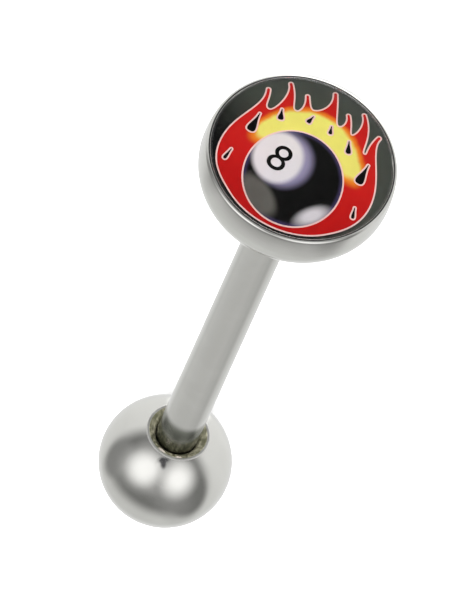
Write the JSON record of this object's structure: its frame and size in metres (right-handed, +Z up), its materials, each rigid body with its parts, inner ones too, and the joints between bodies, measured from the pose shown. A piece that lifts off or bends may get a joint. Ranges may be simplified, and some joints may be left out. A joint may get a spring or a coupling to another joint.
{
  "type": "tongue barbell",
  "caption": "Straight steel tongue barbell lying on its side, with a screw-off ball at one end and a flat round head that holds a printed picture under a clear dome.",
  "frame": {"origin": "on the surface that the barbell lies on, under the middle of its box", "axes": "+X along the barbell from the ball towards the picture, +Z up; the bar rises 3.0 degrees towards the head, because the ball and the wider head both touch the surface"},
  "size_m": [0.025, 0.0072, 0.0072],
  "materials": {
    "polished_steel": "polished",
    "printed_picture": "satin",
    "clear_resin": "gloss"
  },
  "bodies": {
    "stem": {"bar_and_cup": "polished_steel", "picture_disc": "printed_picture", "clear_dome": "clear_resin"},
    "end_ball": {"ball": "polished_steel"}
  },
  "joints": [
    {"name": "ball_off", "type": "slide", "parent": "stem", "child": "end_ball", "axis": [-0.9986, 0, -0.0525], "range_m": [0, 0.006]}
  ]
}
